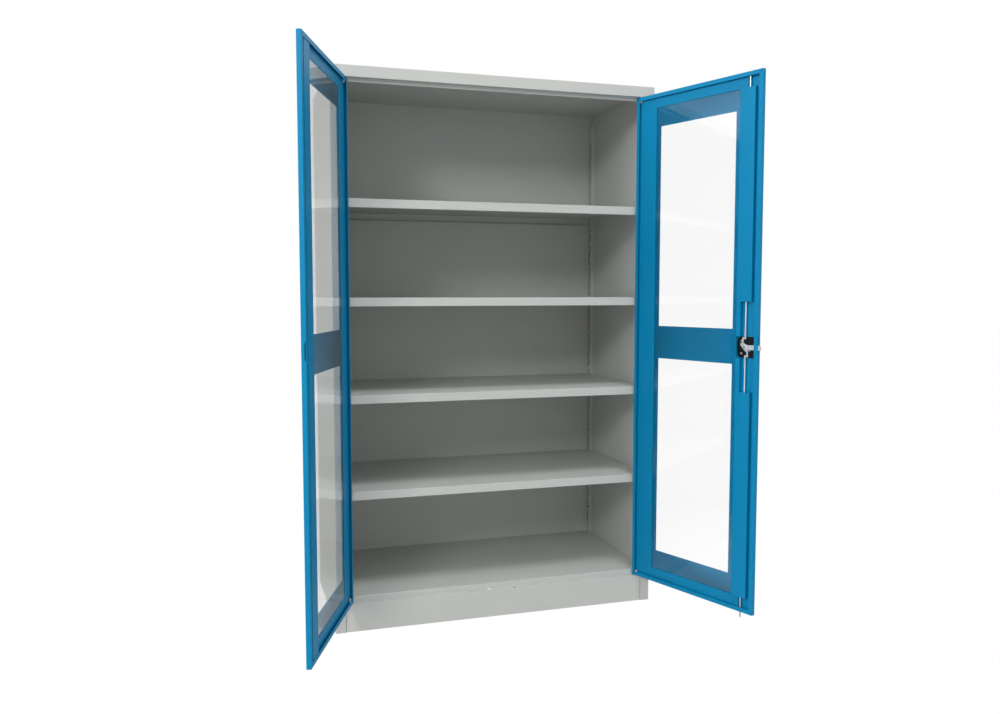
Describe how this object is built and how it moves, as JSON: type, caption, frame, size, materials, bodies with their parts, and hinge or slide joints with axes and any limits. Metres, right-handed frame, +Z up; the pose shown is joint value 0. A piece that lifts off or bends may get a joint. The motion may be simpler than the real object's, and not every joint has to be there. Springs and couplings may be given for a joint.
{
  "type": "double-door cabinet",
  "caption": "Tall free-standing steel cabinet with shelves and a pair of hinged, glazed framed doors that close with a turn handle, locking rods and a cam.",
  "frame": {"origin": "centre of the base, on the floor under the floor stiffener", "axes": "+X to the right seen from the front, +Y from the doors into the cabinet, +Z up"},
  "size_m": [1.4934, 1.1214, 1.95],
  "materials": {
    "grey_paint": "semi-matt powder coat, light grey",
    "blue_paint": "semi-matt powder coat, light blue",
    "clear_pane": "clear, polished",
    "plated_steel": "bright zinc plate",
    "black_plastic": "fine satin",
    "white_nylon": "smooth"
  },
  "bodies": {
    "carcass": {"back_panel": "grey_paint", "base_panel": "grey_paint", "floor_stiffener": "grey_paint", "front_left_post": "grey_paint", "front_right_post": "grey_paint", "ledge_plug": "white_nylon", "left_base_rail": "grey_paint", "left_side_panel": "grey_paint", "pivot_pins": "plated_steel", "rear_base_rail": "grey_paint", "rear_left_post": "grey_paint", "rear_right_post": "grey_paint", "right_base_rail": "grey_paint", "right_side_panel": "grey_paint", "shelf_1": "grey_paint", "shelf_2": "grey_paint", "shelf_3": "grey_paint", "shelf_4": "grey_paint", "shelf_clips": "plated_steel", "top_panel": "grey_paint"},
    "left_door": {"left_door_skin": "blue_paint", "left_pane": "clear_pane", "left_hinge_stile": "blue_paint", "left_free_stile": "blue_paint", "left_bottom_rail": "blue_paint", "left_top_rail": "blue_paint", "left_pivot_bushes": "white_nylon", "left_hinge_rivets": "blue_paint"},
    "right_door": {"right_door_skin": "blue_paint", "right_pane": "clear_pane", "right_hinge_stile": "blue_paint", "right_free_stile": "blue_paint", "right_bottom_rail": "blue_paint", "right_top_rail": "blue_paint", "right_pivot_bushes": "white_nylon", "right_hinge_rivets": "blue_paint", "lock_case": "black_plastic", "lock_screws": "plated_steel", "handle_shield": "black_plastic", "rod_guides": "white_nylon"},
    "handle": {"turn_handle": "black_plastic", "lock_cam": "plated_steel", "cam_nut": "plated_steel"},
    "key": {"key_cylinder": "plated_steel"},
    "upper_rod": {"upper_rod": "plated_steel"},
    "lower_rod": {"lower_rod": "plated_steel"}
  },
  "joints": [
    {"name": "left_door_hinge", "type": "hinge", "parent": "carcass", "child": "left_door", "pos_m": [-0.5495, -0.294, 1], "axis": [0, 0, 1], "range_deg": [0, 110]},
    {"name": "right_door_hinge", "type": "hinge", "parent": "carcass", "child": "right_door", "pos_m": [0.5495, -0.294, 1], "axis": [0, 0, -1], "range_deg": [0, 110]},
    {"name": "handle_turn", "type": "hinge", "parent": "right_door", "child": "handle", "pos_m": [0.72311, -0.75492, 1.0055], "axis": [-0.9397, -0.342, 0], "range_deg": [0, 90]},
    {"name": "key_turn", "type": "hinge", "parent": "handle", "child": "key", "pos_m": [0.72311, -0.75492, 1.0055], "axis": [-0.9397, -0.342, 0], "range_deg": [0, 90]},
    {"name": "upper_rod_slide", "type": "slide", "parent": "right_door", "child": "upper_rod", "axis": [0, 0, -1], "range_m": [0, 0.02]},
    {"name": "lower_rod_slide", "type": "slide", "parent": "right_door", "child": "lower_rod", "axis": [0, 0, 1], "range_m": [0, 0.02]}
  ],
  "couplings": [
    {"joint": "upper_rod_slide", "follows": "handle_turn", "m_per_rad": 0.012732},
    {"joint": "lower_rod_slide", "follows": "handle_turn", "m_per_rad": 0.012732}
  ]
}
